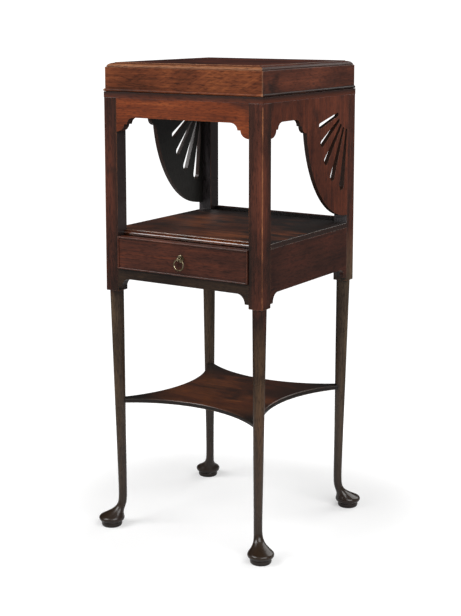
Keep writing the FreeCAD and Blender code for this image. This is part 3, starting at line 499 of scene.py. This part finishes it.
# the side beads take darker shades than the front bead: painted shade
sideBeadLook = {
    "ease": 0.5, "grain": "Y", "shift": (0.1, 0.5, 0.2), "shades": ("#20130e", "#301d16", "#4a2d20"),
    "rubbed": "#634637", "wear": 0.5, "gloss": (0.56, 0.48), "polish": 0.2, "coat": 0.0,
}
lidTopLook = {
    "ease": 0.5, "grain": "X", "shift": (0.7, 0.25, 0.55), "shades": ("#2a120c", "#44211a", "#5c2c1c"),
    # the front of the moulding is a lighter painted highlight, its sides a darker painted shade; the pale rub
    # on it is partly painted highlight
    "edge": {"axis": "Z", "from": 0.97, "to": 0.85, "colour": "#8a5a3c",
             "side": "#3c2319", "sideFrom": 0.1, "sideTo": 0.3},
    "rubbed": "#ad8567", "wear": 0.75, "gloss": (0.5, 0.4), "polish": 0.14, "coat": 0.0,
}
frenchPolish("lid front", lidFrontLook, "lid_front", "lid_back", "lid_bead_front")
frenchPolish("lid sides", lidSideLook, "lid_left", "lid_right")
frenchPolish("side beads", sideBeadLook, "lid_bead_left", "lid_bead_right")
frenchPolish("lid top", lidTopLook, "lid_top")
print("lid done")

# drawer front with its cock beads
drawerLook = {
    "ease": 0.3, "grain": "X", "shift": (0.13, 0.44, 0.87), "spread": 0.16,
    "shades": ("#301811", "#4d271b", "#733820"), "stain": "#25140e", "stainFrom": 0.6,
    "rubbed": "#94705c", "wear": 0.6, "gloss": (0.44, 0.32),
}
frenchPolish("drawer front", drawerLook, "drawer_front", "cock_bead_top", "cock_bead_bottom",
             "cock_bead_left", "cock_bead_right")

# oak lining, planed and left bare: dry and pale, coarse pores in dashes, dirty in patches, painted shade
# greying the corners
oakSizes = {
    # pattern: mm along the grain, mm across it, detail, wander
    "rings": (180, 4, 4, 0.4),
    "pores": (22, 1.2, 2, 0),       # real pores are 0.4 mm wide, drawn coarser so that they show
    "stains": (70, 70, 3, 0.4),
}
oakLook = {
    "ease": 0.4, "shades": ("#7a5d3d", "#8f7150", "#a3845c"), "shadePlaces": (0.38, 0.5, 0.62),
    "pore": "#54402a", "poreRange": (0.44, 0.34), "poreDepth": 0.6, "relief": 0.4,
    "dirt": "#4a3826", "dirtRange": (0.5, 0.72), "dirtShare": 0.6,
    # painted shade in the corners: grey, reach in mm, range and share
    "corner": "#a0958b", "cornerReach": 20, "cornerRange": (0.3, 0.95), "cornerShare": 0.8,
    "dryRange": (0.3, 0.7), "roughness": (0.72, 0.58),
}
oakLinings = {
    "X": ("drawer_back", "drawer_stops", "glue_blocks"),
    "Y": ("drawer_side_left", "drawer_side_right", "drawer_bottom", "drawer_runner_left",
          "drawer_runner_right", "drawer_guide_left", "drawer_guide_right"),
}


def oakLining(grain):
    material, tree, shader = newMaterial("dry oak lining, grain along " + grain)
    pattern = grainPatterns(tree, put(tree, "TexCoord", out="Object"), grain, oakSizes)
    shadeStops = zip(oakLook["shadePlaces"], oakLook["shades"])
    colour = put(tree, "ValToRGB", {0: pattern["rings"]}, stops=shadeStops)
    start, full = oakLook["poreRange"]
    openPores = put(tree, "MapRange", {0: pattern["pores"], 1: start, 2: full})
    colour = put(tree, "Mix", {0: openPores, 6: colour, 7: oakLook["pore"]}, 2, data_type="RGBA")
    start, full = oakLook["dirtRange"]
    dirty = put(tree, "MapRange", {0: pattern["stains"], 1: start, 2: full, 4: oakLook["dirtShare"]})
    colour = put(tree, "Mix", {0: dirty, 6: colour, 7: oakLook["dirt"]}, 2, data_type="RGBA")
    # painted shade: greyer and darker in the corners
    corner = put(tree, "AmbientOcclusion", {"Distance": oakLook["cornerReach"] / 1000}, "AO",
                 samples=cornerRays)
    shade = put(tree, "ValToRGB", {0: corner}, stops=zip(oakLook["cornerRange"], (oakLook["corner"], white)))
    colour = put(tree, "Mix", {0: oakLook["cornerShare"], 6: colour, 7: shade}, 2, data_type="RGBA",
                 blend_type="MULTIPLY")
    tree.links.new(colour, shader.inputs["Base Color"])
    start, full = oakLook["dryRange"]
    rough, smooth = oakLook["roughness"]
    dry = put(tree, "MapRange", {0: pattern["stains"], 1: start, 2: full, 3: rough, 4: smooth})
    tree.links.new(dry, shader.inputs["Roughness"])
    torn = put(tree, "Bump", {"Height": pattern["pores"], "Strength": oakLook["relief"],
                              "Distance": oakLook["poreDepth"] / 1000})
    tree.links.new(torn, shader.inputs["Normal"])
    return material


for grain, liningNames in oakLinings.items():
    lining = oakLining(grain)
    for liningName in liningNames:
        easedCopy(liningName, oakLook["ease"], lining)
print("drawer and linings done")

# brass, cast and hand filed, long since dulled: pale grey-gold where fingers rub, brown in the hollows
brassLook = {
    "ease": 0.15, "shades": ("#3f3526", "#8d8064", "#c3b596"), "shadePlaces": (0.36, 0.48, 0.6),
    "patch": 6, "patchDetail": 4, "fileMarks": (8, 0.6), "markDetail": 2, "markDepth": 0.2, "relief": 0.3,
    "tarnish": "#3f3526", "hollowReach": 4, "hollowRange": (0.75, 0.3), "tarnishShare": 0.8,
    "dullRange": (0.35, 0.65), "roughness": (0.46, 0.24),
}
agedBrass, tree, shader = newMaterial("aged brass")
place = put(tree, "TexCoord", out="Object")
patchy = put(tree, "Mapping", {"Vector": place, "Scale": [1000 / brassLook["patch"]] * 3})
patches = put(tree, "TexNoise", {"Vector": patchy, "Scale": 1, "Detail": brassLook["patchDetail"]})
scratched = put(tree, "Mapping", {"Vector": place, "Scale": grainSize("X", *brassLook["fileMarks"])})
marks = put(tree, "TexNoise", {"Vector": scratched, "Scale": 1, "Detail": brassLook["markDetail"]})
colour = put(tree, "ValToRGB", {0: patches}, stops=zip(brassLook["shadePlaces"], brassLook["shades"]))
hollow = put(tree, "AmbientOcclusion", {"Distance": brassLook["hollowReach"] / 1000}, "AO",
             samples=cornerRays)
start, full = brassLook["hollowRange"]
tarnished = put(tree, "MapRange", {0: hollow, 1: start, 2: full, 4: brassLook["tarnishShare"]})
colour = put(tree, "Mix", {0: tarnished, 6: colour, 7: brassLook["tarnish"]}, 2, data_type="RGBA")
tree.links.new(colour, shader.inputs["Base Color"])
shader.inputs["Metallic"].default_value = 1.0
start, full = brassLook["dullRange"]
rough, smooth = brassLook["roughness"]
dulled = put(tree, "MapRange", {0: patches, 1: start, 2: full, 3: rough, 4: smooth})
tree.links.new(dulled, shader.inputs["Roughness"])
filed = put(tree, "Bump", {"Height": marks, "Strength": brassLook["relief"],
                           "Distance": brassLook["markDepth"] / 1000})
tree.links.new(filed, shader.inputs["Normal"])
for brassName in ("hinge_board_leaf_left", "hinge_board_leaf_right", "hinge_pin_left", "hinge_pin_right",
                  "board_hinge_screws", "hinge_lid_leaf_left", "hinge_lid_leaf_right", "lid_hinge_screws",
                  "pull_rosette", "pull_eye", "pull_nut", "pull_ring"):
    easedCopy(brassName, brassLook["ease"], agedBrass)
print("brass done")

# studio: a sheet of white paper that melts into the white backdrop, soft boxes held high
floorLook = {
    "size": 6, "paper": "#cfcfcf", "roughness": 0.9, "polish": 0.1,
    "glow": (0.4, 0.9), "glowRange": (0.25, 0.6), "fadeRange": (0.4, 1.0),     # metres from the middle
}
bpy.ops.object.select_all(action="DESELECT")
bpy.ops.mesh.primitive_plane_add(size=floorLook["size"], location=(0, 0, 0))
floor = bpy.context.active_object
floor.name = "floor"
paper, tree, shader = newMaterial("matt white paper")
shader.inputs["Base Color"].default_value = linear(floorLook["paper"])
shader.inputs["Roughness"].default_value = floorLook["roughness"]
shader.inputs["Specular IOR Level"].default_value = floorLook["polish"]
shader.inputs["Emission Color"].default_value = linear(white)
# the paper glows for the camera, dimmer near the middle: painted shade round the stand's feet
reach = put(tree, "VectorMath", {0: put(tree, "TexCoord", out="Object")}, "Value", operation="LENGTH")
near, far = floorLook["glowRange"]
dim, bright = floorLook["glow"]
glow = put(tree, "MapRange", {0: reach, 1: near, 2: far, 3: dim, 4: bright}, interpolation_type="SMOOTHSTEP")
seenGlow = put(tree, "Math", {0: glow, 1: put(tree, "LightPath", out="Is Camera Ray")}, operation="MULTIPLY")
tree.links.new(seenGlow, shader.inputs["Emission Strength"])
start, full = floorLook["fadeRange"]
fade = put(tree, "MapRange", {0: reach, 1: start, 2: full}, interpolation_type="SMOOTHSTEP")
sheet = put(tree, "MixShader", {0: fade, 1: shader.outputs[0], 2: put(tree, "BsdfTransparent")})
tree.links.new(sheet, tree.nodes["Material Output"].inputs["Surface"])
floor.data.materials.append(paper)

# the backdrop looks white, but the polish is lit by a dimmer room, darkest behind and to the left
worldLook = {"seen": 1.15, "bright": 0.32, "dark": 0.05, "towards": (0.6, -0.8, 0), "from": -0.8, "to": 0.35}
scene.world = bpy.data.worlds.new("studio")
scene.world.use_nodes = True
tree = scene.world.node_tree
tree.nodes.clear()
way = put(tree, "VectorMath", {0: put(tree, "TexCoord", out="Generated"), 1: worldLook["towards"]}, "Value",
          operation="DOT_PRODUCT")
room = put(tree, "MapRange", {0: way, 1: worldLook["from"], 2: worldLook["to"],
                              3: worldLook["dark"], 4: worldLook["bright"]})
lit = put(tree, "Background", {"Strength": room})
seen = put(tree, "Background", {"Color": white, "Strength": worldLook["seen"]})
both = put(tree, "MixShader", {0: put(tree, "LightPath", out="Is Camera Ray"), 1: lit, 2: seen})
put(tree, "OutputWorld", {"Surface": both})

lampLooks = {
    "keyLamp": {"place": (-1.5, -2.1, 2.6), "aim": (0, 0, 0.5), "size": 1.9, "watts": 73},
    "sideLamp": {"place": (2.1, -1.2, 2.2), "aim": (0, 0, 0.5), "size": 2.2, "watts": 66},
    "backLamp": {"place": (0.9, 2.5, 2.4), "aim": (0, 0, 0.5), "size": 2.2, "watts": 38},
}
for lampName, lamp in lampLooks.items():
    aim = Vector(lamp["aim"]) - Vector(lamp["place"])
    bpy.ops.object.light_add(type="AREA", location=lamp["place"],
                             rotation=aim.to_track_quat("-Z", "Y").to_euler())
    lampObject = bpy.context.active_object
    lampObject.name = lampName
    lampObject.data.size = lamp["size"]
    lampObject.data.energy = lamp["watts"]

# camera at the photograph's angle, a long lens with a little downward shift
cameraLook = {
    "place": (1.2866, -2.0212, 0.9317), "turn": 32.551, "down": 8.616,
    "lens": 78.12, "sensor": 36, "shiftY": -0.151,
}
cameraTurn = (math.radians(90 - cameraLook["down"]), 0, math.radians(cameraLook["turn"]))
bpy.ops.object.camera_add(location=cameraLook["place"], rotation=cameraTurn)
camera = bpy.context.active_object
camera.data.lens = cameraLook["lens"]
camera.data.sensor_width = cameraLook["sensor"]
camera.data.shift_y = cameraLook["shiftY"]
scene.camera = camera
scene.view_settings.view_transform = "Standard"
print("studio done")
